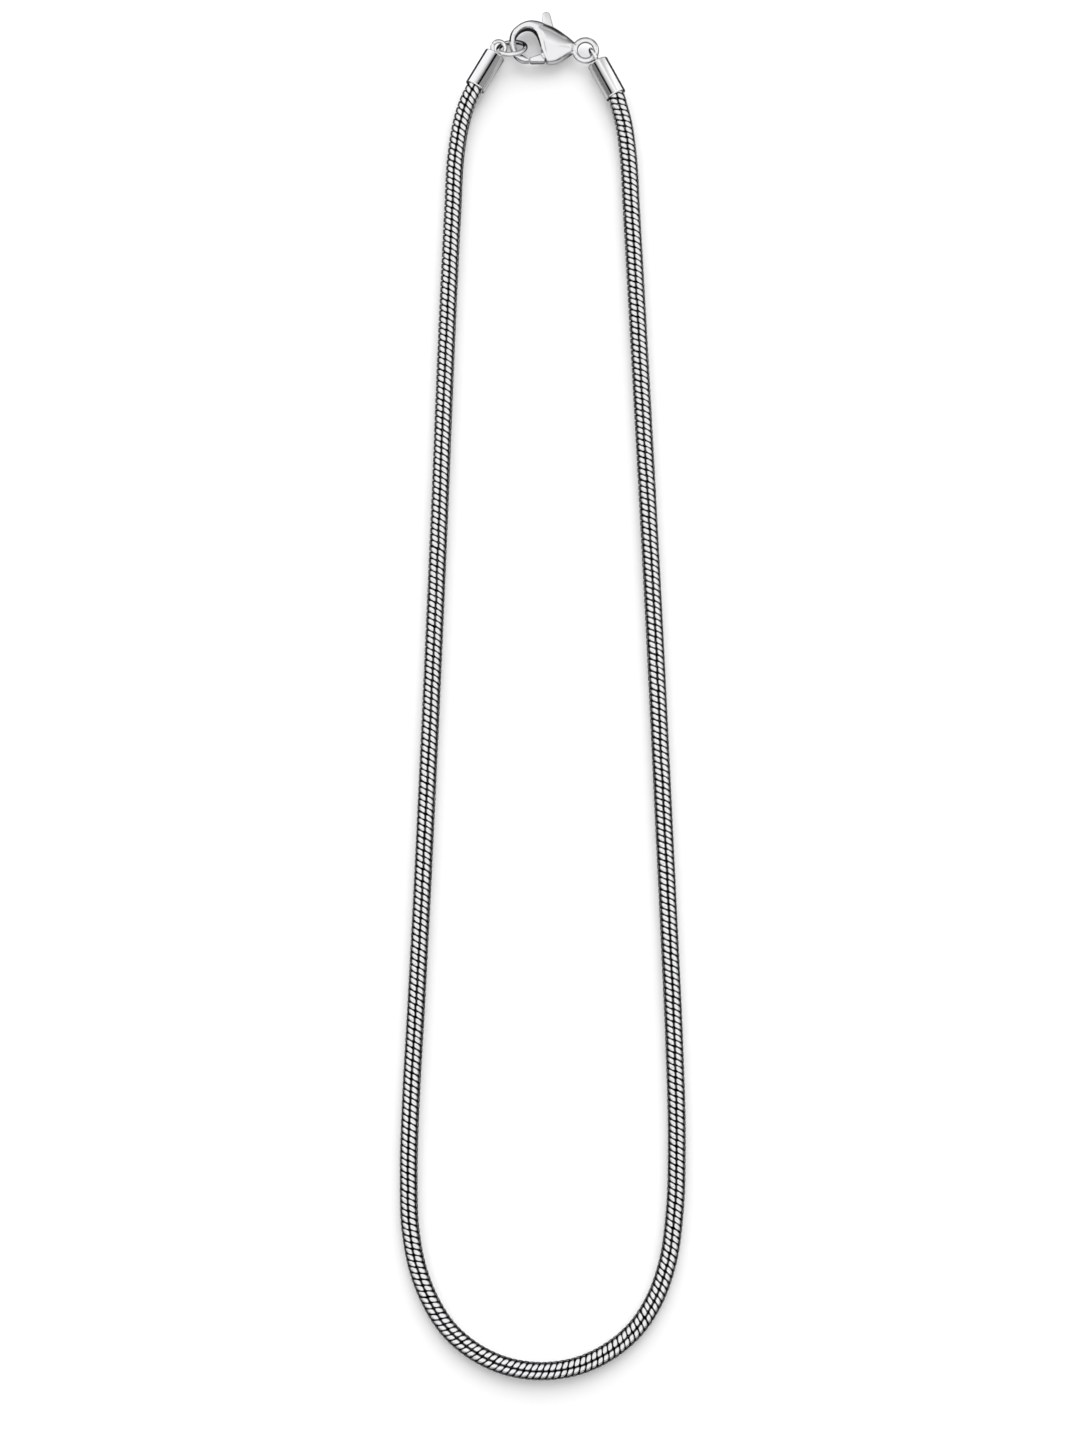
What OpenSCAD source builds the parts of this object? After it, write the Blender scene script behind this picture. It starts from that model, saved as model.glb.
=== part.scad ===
// Round snake chain necklace with a lobster-claw clasp, laid out flat as a long narrow U.
// Z = 0 is the surface that it lies on, +Y points at the clasp, and the origin is the
// middle of the lying necklace, on that surface.

/* [Chain] */
// Outer diameter of the round snake chain
chain_d = 2.75; // [2.6:0.05:2.75]
// Spacing of the tube's rings along the route
ring_pitch = 6.5; // [6:0.5:8]

/* [End caps] */
// Outer diameter of a barrel
cap_d = 3.4; // [3.3:0.05:3.4]
// Length of a barrel
cap_len = 6.3; // [6:0.1:6.4]
// Clearance between the chain and the barrel's bore, on the radius
cap_clearance = 0.07; // [0.05:0.01:0.1]
// How far the chain goes into a barrel
chain_seat = 4; // [3:0.1:4.4]
// Bevel on the barrel's edges
cap_bevel = 0.14; // [0.05:0.01:0.2]
// Middle radius of the soldered wire eye
eye_r = 1.1; // [1.05:0.01:1.12]
// Diameter of the eye's wire
eye_wire = 0.64; // [0.58:0.02:0.66]

/* [Jump ring] */
// Middle radius of the jump ring
jump_r = 2.18; // [2.16:0.01:2.2]
// Diameter of the jump ring's wire
jump_wire = 0.72; // [0.68:0.02:0.74]

/* [Clasp] */
// Middle radius of the tail ring
tail_r = 1.7; // [1.66:0.01:1.74]
// Diameter of the tail ring's section
tail_wire = 0.94; // [0.86:0.02:0.96]
// Height of the slot that the lever works in
slot_h = 1.24; // [1.22:0.01:1.3]
// Thickness of the lever's blade, which runs in the slot
lever_t = 1.1; // [1:0.01:1.12]
// Thickness of the gate at the mouth
gate_t = 1.7; // [1.5:0.05:1.8]
// Radius of the pivot pin
pin_r = 0.4; // [0.35:0.01:0.42]
// Turn of the lever, closed to open, that the slot leaves room for
lever_travel = 25; // [20:1:25]

/* [Hidden] */

steel = [0.80, 0.80, 0.81];
dark_steel = [0.62, 0.62, 0.64];

// Heights: the chain lies on the surface, the barrels lift their ends of it a little
chain_r = chain_d / 2;
lie_z = chain_r + 0.005;
cap_r = cap_d / 2;
mid_z = cap_r;

// The two barrels: middle of the open mouth, and the heading from the mouth to the eye
left_mouth = [-10.84, 95.3, mid_z];
left_heading = 59.7;
left_eye_roll = 25;
right_mouth = [11.72, 93.9, mid_z];
right_heading = 118;
right_eye_roll = 90;
eye_reach = 1.24;
bore_relief = 0.1;

// The jump ring's middle, its turn in plan and its tilt up from lying flat
jump_at = [-4.95, 101.75, 1.905];
jump_turn = 8;
jump_tilt = 45;

// The clasp is drawn round its pivot, in its own plan, with its mid plane at height 0
pivot_at = [1.7, 101.1, mid_z];
tail_at = [5.15, 0.35];

// The chain's route between the barrels, as points that the middle of the chain goes through
chain_lift = 0.12;
route = [
    [-12.0, 92.9, mid_z - chain_lift],
    [-12.9, 90.0, lie_z + 0.09],
    [-13.8, 84.5, lie_z + 0.03],
    [-14.3, 75.5, lie_z],
    [-14.8, 64.5, lie_z],
    [-15.4, 49, lie_z],
    [-16.1, 29, lie_z],
    [-16.9, 8, lie_z],
    [-17.7, -12, lie_z],
    [-18.6, -33, lie_z],
    [-19.5, -52, lie_z],
    [-20.2, -66, lie_z],
    [-20.46, -77, lie_z],
    [-20.1, -85.5, lie_z],
    [-19, -91, lie_z],
    [-17, -96, lie_z],
    [-14.2, -100.2, lie_z],
    [-10.5, -103.3, lie_z],
    [-5.5, -105.6, lie_z],
    [0, -106.34, lie_z],
    [5.5, -105.5, lie_z],
    [10.5, -103.1, lie_z],
    [14.2, -99.9, lie_z],
    [17, -95.6, lie_z],
    [19, -90, lie_z],
    [20.1, -82.5, lie_z],
    [20.48, -72, lie_z],
    [20.2, -57.5, lie_z],
    [19.5, -40, lie_z],
    [18.6, -19, lie_z],
    [17.7, 2, lie_z],
    [16.7, 23.5, lie_z],
    [15.7, 44, lie_z],
    [14.8, 62, lie_z],
    [14.1, 75.5, lie_z],
    [13.6, 84.5, lie_z + 0.03],
    [12.8, 90, lie_z + 0.09],
    [12.2, 92.2, mid_z - chain_lift]
];
chain_sides = 8;

// Facets round a barrel or a wire ring, round a wire, and round a pin or a bore
ring_facets = 64;
wire_facets = 32;
pin_facets = 48;

// Hook: each row is a section across it, from the tip round the mouth into the belly
HOOK_IN_X = 0;
HOOK_IN_Y = 1;
HOOK_OUT_X = 2;
HOOK_OUT_Y = 3;
HOOK_THICK = 4;
hook_rows = [
    [-4.06, -1.10, -3.82, -1.75, 1.55],
    [-4.80, -0.55, -4.90, -1.80, 1.70],
    [-5.65, 0.10, -6.25, -0.90, 1.70],
    [-5.98, 1.20, -6.95, 0.80, 1.75],
    [-6.00, 2.10, -7.08, 1.90, 1.80],
    [-5.60, 2.90, -6.70, 3.40, 1.95],
    [-4.95, 3.48, -5.80, 4.35, 2.20],
    [-4.20, 3.72, -4.70, 4.95, 2.45],
    [-3.50, 3.62, -3.60, 5.18, 2.60],
    [-2.80, 3.20, -2.40, 5.05, 2.50],
    [-2.00, 2.60, -1.10, 4.65, 1.90],
    [-1.20, 2.20, -0.20, 4.10, 0.90]
];
hook_steps = 4;
hook_square = 2.4;

// Belly: each row is a section square to the clasp's length, with its squareness
BELLY_X = 0;
BELLY_LOW = 1;
BELLY_HIGH = 2;
BELLY_THICK = 3;
BELLY_SQUARE = 4;
belly_rows = [
    [-3.9, -1.80, 5.10, 0.60, 3.0],
    [-3.3, -1.86, 5.16, 1.80, 3.0],
    [-2.7, -1.90, 5.12, 2.75, 2.9],
    [-1.7, -1.96, 4.92, 3.20, 2.7],
    [-0.7, -1.98, 4.56, 3.34, 2.5],
    [0.3, -1.90, 4.04, 3.36, 2.4],
    [1.3, -1.44, 3.36, 3.16, 2.3],
    [2.3, -0.80, 2.56, 2.60, 2.2],
    [3.1, -0.30, 1.90, 1.80, 2.1],
    [3.6, -0.06, 1.46, 1.10, 2.1]
];
belly_steps = 3;
section_sides = 24;

// Mouth: the wall that the belly turns to the mouth, from the top of the mouth to the bottom
mouth_wall = [
    [-4.2, 3.76],
    [-3.5, 3.66],
    [-2.8, 3.15],
    [-2.35, 2.2],
    [-2.06, 1.2],
    [-1.9, 0.5],
    [-1.7, -0.15],
    [-1.4, -0.95],
    [-0.95, -1.8]
];
mouth_steps = 3;
mouth_far = -9;
mouth_foot = -3;
mouth_cut_h = 5;

// Lever: hub round the pin, blade to the gate, and the thumb tab above the back, and the
// slot's reach at the mouth and out of the back
hub_r = 1.1;
lever_bore_r = pin_r + 0.05;
body_bore_r = pin_r + 0.01;
slot_gap = 0.08;
tab_tip = [-1.15, 5.94];
tab_tip_r = 0.66;
tab_root = [-0.95, 4.3];
tab_root_r = 0.86;
gate_outline = [[-3.92, -1.14], [-1.98, -0.42], [-1.12, -1.66], [-1.2, -1.74], [-3.7, -1.77]];
blade_outline = [[-0.2, 1.08], [-1.98, -0.42], [-2.1, -0.7], [-1.6, -1.2], [-0.75, -0.8]];
blade_sweep = [150, 231];
blade_reach = 2.9;
slot_out = 7;
wedge_steps = 12;
lever_bore_h = 3;

// Pin: its bore is drilled up from below the underside and stops short of the belly's top
bore_foot = -3;
bore_top = 1.42;
pin_foot = -1.4;
pin_top = 1.38;

// Point number i of a list, held at its ends
function held(list, i) = list[max(0, min(len(list) - 1, i))];

// Length of the chord after point i, and the slope at point i: the two neighbouring chords'
// slopes, the shorter chord counting more
function chord(list, i) = norm(held(list, i + 1) - held(list, i));
function slope_at(list, i) =
    i == 0 ? (list[1] - list[0]) / chord(list, 0) :
    i == len(list) - 1 ? (list[i] - list[i - 1]) / chord(list, i - 1) :
    ((list[i + 1] - list[i]) / chord(list, i) * chord(list, i - 1)
        + (list[i] - list[i - 1]) / chord(list, i - 1) * chord(list, i))
    / (chord(list, i - 1) + chord(list, i));

// Cubic between points i and i + 1, at t from 0 to 1, with those slopes
function curve_point(list, i, t) =
    let (h = chord(list, i), a = slope_at(list, i) * h, b = slope_at(list, i + 1) * h)
    (2 * t ^ 3 - 3 * t ^ 2 + 1) * list[i] + (t ^ 3 - 2 * t ^ 2 + t) * a
        + (3 * t ^ 2 - 2 * t ^ 3) * list[i + 1] + (t ^ 3 - t ^ 2) * b;

// The same smooth curve through a whole table of rows, each span cut into steps
function smooth_rows(rows, steps) =
    concat([for (i = [0 : len(rows) - 2], k = [0 : steps - 1]) curve_point(rows, i, k / steps)],
        [rows[len(rows) - 1]]);

// A unit circle squared off: power 2 is round, more is squarer
function squared(c, power) = sign(c) * abs(c) ^ (2 / power);

// Heading of a plan angle, and the place in a barrel where the chain ends
function heading(a) = [cos(a), sin(a), 0];
function barrel_seat(mouth, a) = mouth + chain_seat * heading(a);

// One closed skin over rings of equally many points
module skin(rings) {
    count = len(rings);
    sides = len(rings[0]);
    points = [for (ring = rings) each ring];
    walls = [for (i = [0 : count - 2], k = [0 : sides - 1])
        let (a = i * sides + k, b = i * sides + (k + 1) % sides)
        each [[a, a + sides, b + sides], [a, b + sides, b]]];
    first = [for (k = [0 : sides - 1]) k];
    last = [for (k = [sides - 1 : -1 : 0]) (count - 1) * sides + k];
    polyhedron(points, concat(walls, [first, last]), convexity = 8);
}

// A route's smooth curve, each stretch cut to about the ring pitch
function cut_route(points) =
    concat([for (i = [0 : len(points) - 2])
        let (cuts = max(1, round(chord(points, i) / ring_pitch)))
        each [for (k = [0 : cuts - 1]) curve_point(points, i, k / cuts)]],
        [points[len(points) - 1]]);

// Ring of the chain's tube round point i of its route, square to the route
function tube_ring(line, i) =
    let (along = held(line, i + 1) - held(line, i - 1),
        side = cross(along, [0, 0, 1]) / norm(cross(along, [0, 0, 1])),
        up = cross(side, along) / norm(along))
    [for (k = [0 : chain_sides - 1])
        line[i] + chain_r * (cos(360 * k / chain_sides) * side - sin(360 * k / chain_sides) * up)];

module chain() {
    stops = concat(
        [barrel_seat(left_mouth, left_heading), left_mouth],
        route,
        [right_mouth, barrel_seat(right_mouth, right_heading)]);
    line = cut_route(stops);
    color(steel) skin([for (i = [0 : len(line) - 1]) tube_ring(line, i)]);
}

// A barrel with its mouth at the origin and its eye towards +X, bored for the chain
module end_cap(eye_roll) {
    bore_r = chain_r + cap_clearance;
    bore_end = chain_seat + bore_relief;
    rotate([0, 90, 0]) rotate_extrude($fn = ring_facets)
        polygon([
            [0, bore_end],
            [bore_r, bore_end],
            [bore_r, 0],
            [cap_r - cap_bevel, 0],
            [cap_r, cap_bevel],
            [cap_r, cap_len - cap_bevel],
            [cap_r - cap_bevel, cap_len],
            [0, cap_len]
        ]);
    translate([cap_len + eye_reach, 0, 0]) rotate([eye_roll, 0, 0]) wire_ring(eye_r, eye_wire);
}

// Round wire bent to a full ring, lying flat
module wire_ring(middle_r, wire_d) {
    rotate_extrude($fn = ring_facets) translate([middle_r, 0]) circle(d = wire_d, $fn = wire_facets);
}

module cap_left() {
    color(steel) translate(left_mouth) rotate([0, 0, left_heading]) end_cap(left_eye_roll);
}

module cap_right() {
    color(steel) translate(right_mouth) rotate([0, 0, right_heading]) end_cap(right_eye_roll);
}

module jump_ring() {
    color(steel) translate(jump_at) rotate([0, 0, jump_turn]) rotate([-jump_tilt, 0, 0])
        wire_ring(jump_r, jump_wire);
}

// Section of the hook: squared ring between its inner and outer point
function hook_ring(row) =
    let (inner = [row[HOOK_IN_X], row[HOOK_IN_Y]], outer = [row[HOOK_OUT_X], row[HOOK_OUT_Y]],
        middle = (inner + outer) / 2, half = (outer - inner) / 2)
    [for (k = [0 : section_sides - 1])
        let (a = 360 * k / section_sides,
            at = middle + half * squared(cos(a), hook_square))
        [at.x, at.y, row[HOOK_THICK] / 2 * squared(sin(a), hook_square)]];

// Section of the belly: squared ring from its low edge to its high edge
function belly_ring(row) =
    let (middle = (row[BELLY_LOW] + row[BELLY_HIGH]) / 2, half = (row[BELLY_HIGH] - row[BELLY_LOW]) / 2)
    [for (k = [0 : section_sides - 1])
        let (a = 360 * k / section_sides, square = row[BELLY_SQUARE])
        [row[BELLY_X], middle + half * squared(cos(a), square),
            row[BELLY_THICK] / 2 * squared(sin(a), square)]];

module hook() {
    skin([for (row = smooth_rows(hook_rows, hook_steps)) hook_ring(row)]);
}

module belly() {
    difference() {
        skin([for (row = smooth_rows(belly_rows, belly_steps)) belly_ring(row)]);
        linear_extrude(height = mouth_cut_h, center = true)
            polygon(concat(smooth_rows(mouth_wall, mouth_steps), [
                [mouth_wall[len(mouth_wall) - 1].x, mouth_foot],
                [mouth_far, mouth_foot],
                [mouth_far, mouth_wall[0].y]
            ]));
    }
}

// A wedge of a circle about the pivot, from angle a to angle b
module wedge(a, b, reach) {
    turn = (b - a) / wedge_steps;
    rim = [for (k = [0 : wedge_steps]) reach * [cos(a + turn * k), sin(a + turn * k)]];
    polygon(concat([[0, 0]], rim));
}

// The slot in plan: the hub's pocket, the blade's sweep to the mouth and the tab's out of the back
module slot_plan() {
    tab_angle = atan2(tab_root.y, tab_root.x);
    half_width = hub_r + slot_gap;
    circle(r = half_width, $fn = pin_facets);
    wedge(blade_sweep[0], blade_sweep[1], blade_reach);
    wedge(tab_angle - lever_travel, tab_angle, slot_out);
    for (a = [tab_angle - lever_travel, tab_angle])
        rotate(a) translate([0, -half_width]) square([slot_out, 2 * half_width]);
}

module clasp_body() {
    color(steel) translate(pivot_at) difference() {
        union() {
            hook();
            belly();
            translate([tail_at.x, tail_at.y, 0]) wire_ring(tail_r, tail_wire);
        }
        linear_extrude(height = slot_h, center = true) slot_plan();
        translate([0, 0, bore_foot]) cylinder(r = body_bore_r, h = bore_top - bore_foot, $fn = pin_facets);
    }
}

// The thumb tab in plan, from the hub out through the back to its round tip
module tab_plan() {
    hull() {
        translate(tab_tip) circle(r = tab_tip_r, $fn = wire_facets);
        translate(tab_root) circle(r = tab_root_r, $fn = wire_facets);
    }
    hull() {
        translate(tab_root) circle(r = tab_root_r, $fn = wire_facets);
        circle(r = hub_r, $fn = wire_facets);
    }
}

module lever() {
    color(steel) translate(pivot_at) difference() {
        union() {
            linear_extrude(height = lever_t, center = true) {
                circle(r = hub_r, $fn = pin_facets);
                tab_plan();
                polygon(blade_outline);
            }
            linear_extrude(height = gate_t, center = true) polygon(gate_outline);
        }
        cylinder(r = lever_bore_r, h = lever_bore_h, center = true, $fn = pin_facets);
    }
}

module pivot_pin() {
    color(dark_steel) translate(pivot_at + [0, 0, pin_foot])
        cylinder(r = pin_r, h = pin_top - pin_foot, $fn = pin_facets);
}

chain();
cap_left();
cap_right();
jump_ring();
clasp_body();
lever();
pivot_pin();
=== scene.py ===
"""Looks of a round snake chain necklace with a lobster-claw clasp, fastened and laid out flat.

Every shape is a surface worked out with numpy in millimetres, in the frame of the construction
model, and is turned to metres when its piece is finished. The chain's wavy links, the two end
caps, the jump ring, the clasp's casting and its lever take the place of the model's plain solids.
"""
import math

import bpy
import numpy as np
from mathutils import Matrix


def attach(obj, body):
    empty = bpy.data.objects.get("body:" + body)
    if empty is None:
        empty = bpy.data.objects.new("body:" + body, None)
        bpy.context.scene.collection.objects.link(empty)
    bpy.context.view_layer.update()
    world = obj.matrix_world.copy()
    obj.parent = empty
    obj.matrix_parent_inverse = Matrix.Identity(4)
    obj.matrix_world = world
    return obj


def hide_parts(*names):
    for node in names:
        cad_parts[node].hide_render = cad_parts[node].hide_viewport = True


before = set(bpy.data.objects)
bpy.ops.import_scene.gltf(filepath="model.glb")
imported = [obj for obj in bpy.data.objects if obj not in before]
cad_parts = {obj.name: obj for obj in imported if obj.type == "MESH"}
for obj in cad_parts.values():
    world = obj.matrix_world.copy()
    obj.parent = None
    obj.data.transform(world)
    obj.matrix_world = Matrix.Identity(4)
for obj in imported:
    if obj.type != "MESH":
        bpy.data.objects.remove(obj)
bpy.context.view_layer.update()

MM = 0.001
UP = np.array([0.0, 0.0, 1.0])

# Chain: outer radius, spacing of the links, height of its middle where it lies on the sheet, how
# deep it sits in a barrel, and how far below a barrel's middle it is just outside it
CHAIN_R = 1.375
LINK_PITCH = 0.95
LIE_Z = CHAIN_R + 0.005
CHAIN_SEAT = 4.0
CHAIN_LIFT = 0.12

# End caps: outer radius, length, rounding of the rims, distance past it of the rings of points that
# keep the wall's shading straight, bore and rounding of its mouth, height of the middle, wire eye,
# and the solder at the eye's foot
CAP_R = 1.7
CAP_LEN = 6.3
CAP_EDGE = 0.14
CAP_HOLD = 0.05
BORE_R = 1.445
BORE_END = 4.1
LIP_EDGE = 0.05
MID_Z = CAP_R
EYE_R = 1.1
EYE_WIRE_R = 0.32
EYE_REACH = 1.24
SOLDER_HALF = (0.3, 0.64, 0.46)

# Place of each cap's mouth, its heading in plan, and the turn of its eye about its length
LEFT_MOUTH = (-10.84, 95.3, MID_Z)
LEFT_HEADING = 59.7
LEFT_ROLL = 25.0
RIGHT_MOUTH = (11.72, 93.9, MID_Z)
RIGHT_HEADING = 118.0
RIGHT_ROLL = 90.0

# Jump ring: middle radius, wire radius, place, turn in plan and tilt from lying flat
JUMP_R = 2.18
JUMP_WIRE_R = 0.36
JUMP_AT = (-4.95, 101.75, 1.905)
JUMP_TURN = 8.0
JUMP_TILT = 45.0

# Clasp: pivot, tail ring, the slot that the lever works in, and the bore of the pin
PIVOT = np.array([1.7, 101.1, MID_Z])
TAIL_AT = (5.15, 0.35, 0.0)
TAIL_R = 1.7
TAIL_WIRE_R = 0.47
SLOT_H = 1.24
HUB_R = 1.1
SLOT_GAP = 0.08
SLOT_OUT = 7.0
BLADE_SWEEP = (150.0, 231.0)
BLADE_REACH = 2.9
LEVER_TRAVEL = 25.0
TAB_ROOT = (-0.95, 4.3)
PIN_BORE_R = 0.41
PIN_BORE_FOOT = -3.0
PIN_BORE_TOP = 1.42

# Points that the middle of the chain goes through between the barrels
CHAIN_ROUTE = np.array([
    [-12.0, 92.9, MID_Z - CHAIN_LIFT],
    [-12.9, 90.0, LIE_Z + 0.09],
    [-13.8, 84.5, LIE_Z + 0.03],
    [-14.3, 75.5, LIE_Z],
    [-14.8, 64.5, LIE_Z],
    [-15.4, 49.0, LIE_Z],
    [-16.1, 29.0, LIE_Z],
    [-16.9, 8.0, LIE_Z],
    [-17.7, -12.0, LIE_Z],
    [-18.6, -33.0, LIE_Z],
    [-19.5, -52.0, LIE_Z],
    [-20.2, -66.0, LIE_Z],
    [-20.46, -77.0, LIE_Z],
    [-20.1, -85.5, LIE_Z],
    [-19.0, -91.0, LIE_Z],
    [-17.0, -96.0, LIE_Z],
    [-14.2, -100.2, LIE_Z],
    [-10.5, -103.3, LIE_Z],
    [-5.5, -105.6, LIE_Z],
    [0.0, -106.34, LIE_Z],
    [5.5, -105.5, LIE_Z],
    [10.5, -103.1, LIE_Z],
    [14.2, -99.9, LIE_Z],
    [17.0, -95.6, LIE_Z],
    [19.0, -90.0, LIE_Z],
    [20.1, -82.5, LIE_Z],
    [20.48, -72.0, LIE_Z],
    [20.2, -57.5, LIE_Z],
    [19.5, -40.0, LIE_Z],
    [18.6, -19.0, LIE_Z],
    [17.7, 2.0, LIE_Z],
    [16.7, 23.5, LIE_Z],
    [15.7, 44.0, LIE_Z],
    [14.8, 62.0, LIE_Z],
    [14.1, 75.5, LIE_Z],
    [13.6, 84.5, LIE_Z + 0.03],
    [12.8, 90.0, LIE_Z + 0.09],
    [12.2, 92.2, MID_Z - CHAIN_LIFT],
])

# Links: each is a closed wavy band of slanted scales round the chain, in columns that are out of
# step by turns. Slope of the slant, shift of a column and half width of a scale as shares of the
# spacing, depth of the valley between columns, and how fast the valley fills with grime and
# painted shade
SCALES = 6
SLANT = math.tan(math.radians(23))
STAGGER = 0.25
SCALE_HALF = 0.43
VALLEY_DIP = 0.22
VALLEY_GRIME_SHADE = 6

# One scale across its column: share of the way, share of the full half width, share of the dip
SCALE_STATIONS = np.array([
    [0.00, 0.42, 1.00],
    [0.03, 0.56, 0.50],
    [0.09, 0.74, 0.10],
    [0.22, 0.92, 0.01],
    [0.50, 1.02, 0.00],
    [0.78, 0.92, 0.01],
    [0.91, 0.74, 0.10],
    [0.97, 0.56, 0.50],
])

# The band's section: share of the half width along the chain, depth in mm, share of grime and
# painted shade. Its skirts spread out underneath and tuck under the next links, where the painted
# shade is darkest.
BAND_SECTION = np.array([
    [-1.34, 0.400, 1.0],
    [-0.98, 0.190, 0.9],
    [-0.86, 0.036, 0.10],
    [-0.45, 0.004, 0.0],
    [0.45, 0.004, 0.0],
    [0.86, 0.036, 0.10],
    [0.98, 0.190, 0.9],
    [1.34, 0.400, 1.0],
])

# Looseness of the links, drawn from a bell curve: seed, shift along the chain, the limit of its
# draws, and turn in degrees. Then the slow wander of their turn, wave by wave: degrees, length of a
# radian, and start in radians
LOOSE_SEED = 7
LOOSE_SHIFT = 0.012
LOOSE_LIMIT = 2
LOOSE_TURN = 1.2
WANDER = ((2.0, 23.0, 0.0), (1.5, 9.1, 1.0))

# Hook, round the pivot: inner point x y, outer point x y, thickness, squareness, from the tip to
# the belly
HOOK_ROWS = np.array([
    [-4.06, -1.10, -3.82, -1.75, 1.55, 2.1],
    [-4.80, -0.55, -4.90, -1.80, 1.70, 2.0],
    [-5.65, 0.10, -6.25, -0.90, 1.70, 2.0],
    [-5.98, 1.20, -6.95, 0.80, 1.75, 2.0],
    [-6.00, 2.10, -7.08, 1.90, 1.80, 2.0],
    [-5.60, 2.90, -6.70, 3.40, 1.95, 2.05],
    [-4.95, 3.48, -5.80, 4.35, 2.20, 2.15],
    [-4.20, 3.72, -4.70, 4.95, 2.45, 2.35],
    [-3.50, 3.62, -3.60, 5.18, 2.60, 2.6],
    [-2.80, 3.20, -2.40, 5.05, 2.50, 2.7],
    [-2.00, 2.60, -1.10, 4.65, 1.90, 2.6],
    [-1.20, 2.20, -0.20, 4.10, 0.90, 2.5],
])

# Belly, round the pivot: x, low edge, high edge, thickness, squareness
BELLY_ROWS = np.array([
    [-3.9, -1.80, 5.10, 0.60, 2.5],
    [-3.3, -1.86, 5.16, 1.80, 2.4],
    [-2.7, -1.90, 5.12, 2.75, 2.3],
    [-1.7, -1.96, 4.92, 3.20, 2.15],
    [-0.7, -1.98, 4.56, 3.34, 2.1],
    [0.3, -1.90, 4.04, 3.36, 2.05],
    [1.3, -1.44, 3.36, 3.16, 2.0],
    [2.3, -0.80, 2.56, 2.72, 2.0],
    [2.8, -0.48, 2.16, 2.30, 2.0],
    [3.2, -0.22, 1.82, 1.50, 2.0],
    [3.6, -0.06, 1.46, 0.90, 2.0],
])

# Wall that the belly turns to the mouth, round the pivot, from the top of the mouth down, and how
# far the cut that makes it reaches beyond the hook, below the mouth and in height
MOUTH_WALL = np.array([
    [-4.2, 3.76],
    [-3.5, 3.66],
    [-2.8, 3.15],
    [-2.35, 2.2],
    [-2.06, 1.2],
    [-1.9, 0.5],
    [-1.7, -0.15],
    [-1.4, -0.95],
    [-0.95, -1.8],
])
MOUTH_FAR = -9.0
MOUTH_FOOT = -3.0
CUT_H = 5.0

# Clasp casting: size of the grid that the fused casting is skinned on, and how far and how often it
# is rubbed smooth, before and after the land is pressed
CAST_GRID = 0.055
RUB = 0.5
CAST_RUBS = 24
LAND_RUBS = 4

# The land is the flat rim beside the mouth: height, width, steepness of the step beyond it at its
# top and its foot, the places of these two along Y, the row of the mouth's wall that it starts at,
# softness of the step, and how far from the wall it is pressed
LAND_Z = 1.3
LAND_W = 0.42
LAND_STEEP = (0.45, 1.8)
LAND_SPAN = (3.0, -1.6)
LAND_FROM = 2
LAND_SOFT = 0.025
LAND_NEAR = 2.0

# Lever, round the pivot: edge rounding and half thickness of the tab, the gate and the blade, their
# outlines, and the bore for the pin
TAB_EDGE = 0.14
TAB_HALF = 0.55
TAB_TIP = (-1.15, 5.94)
TAB_TIP_R = 0.66
TAB_ROOT_R = 0.86
GATE_EDGE = 0.3
GATE_HALF = 0.85
GATE_OUTLINE = np.array([(-3.7, -1.77), (-1.07, -1.74), (-1.98, -0.42), (-3.92, -1.14)])
BLADE_EDGE = 0.06
BLADE_OUTLINE = np.array([(-0.75, -0.8), (-0.2, 1.08), (-1.98, -0.42), (-2.1, -0.7), (-1.6, -1.2)])
LEVER_BORE_R = 0.45

# Fineness: samples of a span of a smooth line, points along and round a surface or an outline, and
# the angles in degrees of the mound's end rings and between a hull's directions
ROUTE_STEPS = 60
MOUTH_STEPS = 8
HOOK_GRID = (10, 64)
BELLY_GRID = (12, 128)
TAIL_GRID = (128, 48)
EYE_GRID = (96, 32)
JUMP_GRID = (160, 40)
MOUND_GRID = (24, 48)
MOUND_POLE = 2
CAP_SIDES = 128
RIM_STEPS = 7
LIP_STEPS = 4
BORE_SIDES = 48
DISC_SIDES = 60
HULL_STEP = 0.1
WEDGE_STEPS = 25
PILLOW_ROWS = 14
TAB_CORNER = 2
BLADE_CORNER = 3
GATE_CORNER = 7

# Angle in degrees past which an edge stays sharp: caps and jump ring, clasp, lever, chain
CREASE = 35.0
CAST_CREASE = 40.0
LEVER_CREASE = 30.0
NO_CREASE = 180.0

# Kinds of a shader group's sockets
FLOAT = "NodeSocketFloat"
VECTOR = "NodeSocketVector"

# Finishes: colour, and the polish group's waviness, hairlines, roughness and film
MARKS = ("Waviness", "Hairlines", "Roughness", "Film")
CAP_FINISH = ((0.88, 0.88, 0.89), (0.01, 0.02, 0.025, 0.02))
WIRE_FINISH = ((0.86, 0.86, 0.87), (0.12, 0.12, 0.08, 0.06))
CAST_FINISH = ((0.86, 0.86, 0.87), (0.2, 0.1, 0.2, 0.05))
LINK_FINISH = ((0.86, 0.86, 0.87), (0.04, 0.08, 0.2, 0.08))

# Grime of the links with painted shade in their gaps and valleys: colour, share of the noise in
# it, and the amounts between which it covers
GRIME_SHADE_COLOUR = (0.018, 0.018, 0.02)
GRIME_SHADE_NOISE = 0.3
GRIME_SHADE_SPAN = (0.32, 0.95)

# Tent: its own grey, and strengths over it where the metal mirrors it, where the camera sees it,
# and where it lights the sheet, with the way to the fill and the cosines that it climbs between
TENT_GREY = 0.8
TENT_WHITE = 1.25
TENT_SEEN = 1.0
TENT_FILL = (0.9, 3.9)
FILL_WAY = (0, 0.866, 0.5)
FILL_TURN = (0.6, 1.0)

# Dark horizon of the tent: heights between which it ends, its tilt, higher in front, and strength
HORIZON = (0.0, 0.27)
HORIZON_TILT = (0, 0.12, 1)
HORIZON_LIGHT = 0.01

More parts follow.
